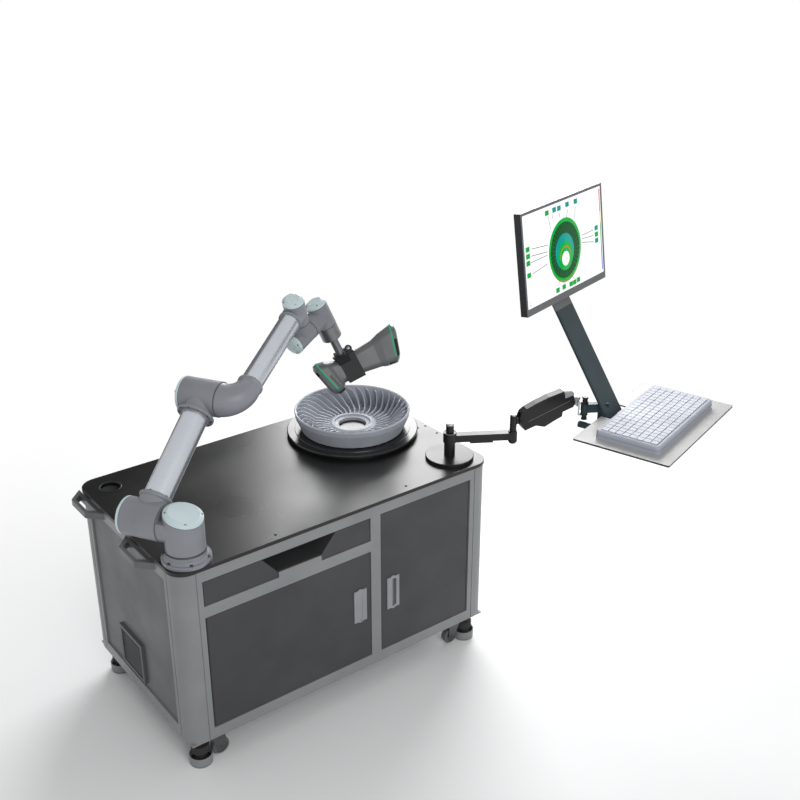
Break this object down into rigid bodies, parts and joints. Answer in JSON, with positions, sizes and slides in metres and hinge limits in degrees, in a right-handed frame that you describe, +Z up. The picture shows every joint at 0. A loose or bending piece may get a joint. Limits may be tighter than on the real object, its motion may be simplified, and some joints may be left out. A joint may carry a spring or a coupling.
{
  "type": "three-d scanner",
  "caption": "Mobile 3-D scanning station: cabinet on levelling casters, robot arm with hand scanner, turntable, side arm with monitor and keyboard.",
  "frame": {"origin": "on the floor under the middle of the whole station's plan outline", "axes": "+X along the cabinet front towards the monitor arm, +Y from the front to the back, +Z up"},
  "size_m": [2.0769, 1.266, 1.5954],
  "materials": {
    "frame_paint": "satin",
    "door_paint": "satin",
    "panel_paint": "satin",
    "top_black": "satin",
    "black_metal": "satin",
    "pull_grey": "satin",
    "sheet_steel": "satin",
    "robot_paint": "satin",
    "tube_silver": "satin",
    "cap_pale": "satin",
    "scanner_grey": "satin",
    "button_pale": "satin",
    "sample_grey": "matte",
    "arm_black": "satin",
    "slate": "satin",
    "tray_grey": "satin",
    "key_body": "matte",
    "key_cap": "matte",
    "case_grey": "matte",
    "screen_glass": "gloss",
    "steel_bright": "satin",
    "rubber_black": "matte",
    "wheel_grey": "matte",
    "fan_black": "matte",
    "unit_grey": "satin"
  },
  "bodies": {
    "cabinet": {"frame_posts": "frame_paint", "frame_rails": "frame_paint", "tabletop": "top_black", "cabinet_panels": "panel_paint", "side_handles": "pull_grey", "vent_grille": "fan_black", "drawer_runners": "steel_bright", "robot_controller": "unit_grey", "computer": "unit_grey", "turntable_base": "black_metal", "robot_base": "robot_paint", "arm_base": "arm_black"},
    "fan": {"fan_rotor": "fan_black"},
    "left_door": {"left_door": "door_paint", "left_door_pull": "pull_grey"},
    "right_door": {"right_door": "door_paint", "right_door_pull": "pull_grey"},
    "drawer": {"drawer_front": "door_paint", "drawer_box": "sheet_steel"},
    "platter": {"turntable_platter": "black_metal"},
    "sample": {"sample_wheel": "sample_grey"},
    "shoulder": {"robot_shoulder": "robot_paint", "robot_shoulder_cap": "cap_pale"},
    "upper_arm": {"upper_arm_housings": "robot_paint", "upper_arm_tube": "tube_silver", "upper_arm_caps": "cap_pale"},
    "forearm": {"forearm_housings": "robot_paint", "forearm_tube": "tube_silver", "forearm_cap": "cap_pale"},
    "wrist_1": {"wrist_1": "robot_paint", "wrist_1_cap": "cap_pale"},
    "wrist_2": {"wrist_2": "robot_paint", "wrist_2_cap": "cap_pale"},
    "tool": {"tool_post": "robot_paint", "scanner_clamp": "arm_black", "scanner_body": "scanner_grey"},
    "trigger": {"scanner_button": "button_pale"},
    "arm_link": {"arm_link": "arm_black"},
    "arm_elbow": {"arm_elbow": "arm_black"},
    "spring_arm": {"spring_arm": "arm_black"},
    "arm_head": {"arm_head": "arm_black"},
    "console": {"column": "slate"},
    "tray": {"tray": "tray_grey", "keyboard": "key_body"},
    "keys": {"keyboard_keys": "key_cap"},
    "monitor": {"monitor_case": "case_grey", "monitor_screen": "screen_glass"},
    "caster_yoke_left_front": {"caster_yoke_left_front": "unit_grey"},
    "caster_wheel_left_front": {"caster_wheel_left_front": "wheel_grey"},
    "caster_foot_left_front": {"caster_foot_left_front": "rubber_black"},
    "caster_yoke_left_back": {"caster_yoke_left_back": "unit_grey"},
    "caster_wheel_left_back": {"caster_wheel_left_back": "wheel_grey"},
    "caster_foot_left_back": {"caster_foot_left_back": "rubber_black"},
    "caster_yoke_right_front": {"caster_yoke_right_front": "unit_grey"},
    "caster_wheel_right_front": {"caster_wheel_right_front": "wheel_grey"},
    "caster_foot_right_front": {"caster_foot_right_front": "rubber_black"},
    "caster_yoke_right_back": {"caster_yoke_right_back": "unit_grey"},
    "caster_wheel_right_back": {"caster_wheel_right_back": "wheel_grey"},
    "caster_foot_right_back": {"caster_foot_right_back": "rubber_black"}
  },
  "joints": [
    {"name": "left_door_swing", "type": "hinge", "parent": "cabinet", "child": "left_door", "pos_m": [-0.86708, -0.06299, 0.3], "axis": [0, 0, -1], "range_deg": [0, 100]},
    {"name": "right_door_swing", "type": "hinge", "parent": "cabinet", "child": "right_door", "pos_m": [0.14492, -0.06299, 0.3], "axis": [0, 0, 1], "range_deg": [0, 100]},
    {"name": "drawer_slide", "type": "slide", "parent": "cabinet", "child": "drawer", "axis": [0, -1, 0], "range_m": [0, 0.38]},
    {"name": "fan_spin", "type": "hinge", "parent": "cabinet", "child": "fan", "pos_m": [-0.94108, 0.311, 0.247], "axis": [1, 0, 0], "continuous": true},
    {"name": "turntable_spin", "type": "hinge", "parent": "cabinet", "child": "platter", "pos_m": [-0.00808, 0.396, 0.744], "axis": [0, 0, 1], "continuous": true},
    {"name": "sample_lift", "type": "slide", "parent": "platter", "child": "sample", "axis": [0, 0, 1], "range_m": [0, 0.05]},
    {"name": "robot_j1", "type": "hinge", "parent": "cabinet", "child": "shoulder", "pos_m": [-0.88708, -0.00299, 0.744], "axis": [0, 0, 1], "range_deg": [-35, 35]},
    {"name": "robot_j2", "type": "hinge", "parent": "shoulder", "child": "upper_arm", "pos_m": [-0.95207, 0.10425, 0.8505], "axis": [0.5183, -0.8552, 0], "range_deg": [-2, 50]},
    {"name": "robot_j3", "type": "hinge", "parent": "upper_arm", "child": "forearm", "pos_m": [-0.64162, 0.29241, 1.09288], "axis": [0.5183, -0.8552, 0], "range_deg": [-2, 60]},
    {"name": "robot_j4", "type": "hinge", "parent": "forearm", "child": "wrist_1", "pos_m": [-0.22622, 0.40006, 1.24984], "axis": [-0.3051, -0.1849, 0.9342], "range_deg": [-60, 60]},
    {"name": "robot_j5", "type": "hinge", "parent": "wrist_1", "child": "wrist_2", "pos_m": [-0.19449, 0.41929, 1.15269], "axis": [0.8922, 0.2876, 0.3483], "range_deg": [-60, 60]},
    {"name": "robot_j6", "type": "hinge", "parent": "wrist_2", "child": "tool", "pos_m": [-0.091, 0.45266, 1.19309], "axis": [0.3891, -0.0979, -0.916], "range_deg": [-90, 90]},
    {"name": "trigger_press", "type": "slide", "parent": "tool", "child": "trigger", "axis": [0.2343, -0.443, -0.8653], "range_m": [0, 0.0014], "stiffness_N_per_m": 400},
    {"name": "arm_swivel", "type": "hinge", "parent": "cabinet", "child": "arm_link", "pos_m": [0.14292, 0.02601, 0.804], "axis": [0, 0, 1], "range_deg": [-30, 45]},
    {"name": "elbow_swivel", "type": "hinge", "parent": "arm_link", "child": "arm_elbow", "pos_m": [0.3299, -0.08993, 0.804], "axis": [0, 0, 1], "range_deg": [-40, 40]},
    {"name": "arm_height", "type": "hinge", "parent": "arm_elbow", "child": "spring_arm", "pos_m": [0.35882, -0.09789, 0.872], "axis": [-0.2656, -0.9641, 0], "range_deg": [-20, 15]},
    {"name": "head_level", "type": "hinge", "parent": "spring_arm", "child": "arm_head", "pos_m": [0.54743, -0.14984, 0.91358], "axis": [-0.2656, -0.9641, 0], "range_deg": [-20, 25]},
    {"name": "console_swivel", "type": "hinge", "parent": "arm_head", "child": "console", "pos_m": [0.57909, -0.18553, 0.88758], "axis": [0, 0, 1], "range_deg": [-30, 30]},
    {"name": "tray_tilt", "type": "hinge", "parent": "console", "child": "tray", "pos_m": [0.67225, -0.25719, 0.85], "axis": [0.9553, 0.2957, 0], "range_deg": [-8, 8]},
    {"name": "key_press", "type": "slide", "parent": "tray", "child": "keys", "axis": [0, 0, -1], "range_m": [0, 0.0018], "stiffness_N_per_m": 1500},
    {"name": "monitor_tilt", "type": "hinge", "parent": "console", "child": "monitor", "pos_m": [0.59443, -0.00579, 1.29514], "axis": [0.965, 0.2622, 0], "range_deg": [-6, 10]},
    {"name": "swivel_left_front", "type": "hinge", "parent": "cabinet", "child": "caster_yoke_left_front", "pos_m": [-0.90908, -0.02099, 0.1], "axis": [0, 0, 1], "continuous": true},
    {"name": "roll_left_front", "type": "hinge", "parent": "caster_yoke_left_front", "child": "caster_wheel_left_front", "pos_m": [-0.84108, -0.02099, 0.033], "axis": [0, 1, 0], "continuous": true},
    {"name": "level_left_front", "type": "slide", "parent": "cabinet", "child": "caster_foot_left_front", "axis": [0, 0, 1], "range_m": [0, 0.01]},
    {"name": "swivel_left_back", "type": "hinge", "parent": "cabinet", "child": "caster_yoke_left_back", "pos_m": [-0.90908, 0.572, 0.1], "axis": [0, 0, 1], "continuous": true},
    {"name": "roll_left_back", "type": "hinge", "parent": "caster_yoke_left_back", "child": "caster_wheel_left_back", "pos_m": [-0.84108, 0.572, 0.033], "axis": [0, 1, 0], "continuous": true},
    {"name": "level_left_back", "type": "slide", "parent": "cabinet", "child": "caster_foot_left_back", "axis": [0, 0, 1], "range_m": [0, 0.01]},
    {"name": "swivel_right_front", "type": "hinge", "parent": "cabinet", "child": "caster_yoke_right_front", "pos_m": [0.18692, -0.02099, 0.1], "axis": [0, 0, 1], "continuous": true},
    {"name": "roll_right_front", "type": "hinge", "parent": "caster_yoke_right_front", "child": "caster_wheel_right_front", "pos_m": [0.11892, -0.02099, 0.033], "axis": [0, 1, 0], "continuous": true},
    {"name": "level_right_front", "type": "slide", "parent": "cabinet", "child": "caster_foot_right_front", "axis": [0, 0, 1], "range_m": [0, 0.01]},
    {"name": "swivel_right_back", "type": "hinge", "parent": "cabinet", "child": "caster_yoke_right_back", "pos_m": [0.18692, 0.572, 0.1], "axis": [0, 0, 1], "continuous": true},
    {"name": "roll_right_back", "type": "hinge", "parent": "caster_yoke_right_back", "child": "caster_wheel_right_back", "pos_m": [0.11892, 0.572, 0.033], "axis": [0, 1, 0], "continuous": true},
    {"name": "level_right_back", "type": "slide", "parent": "cabinet", "child": "caster_foot_right_back", "axis": [0, 0, 1], "range_m": [0, 0.01]}
  ],
  "couplings": [
    {"joint": "head_level", "follows": "arm_height", "ratio": -1}
  ]
}
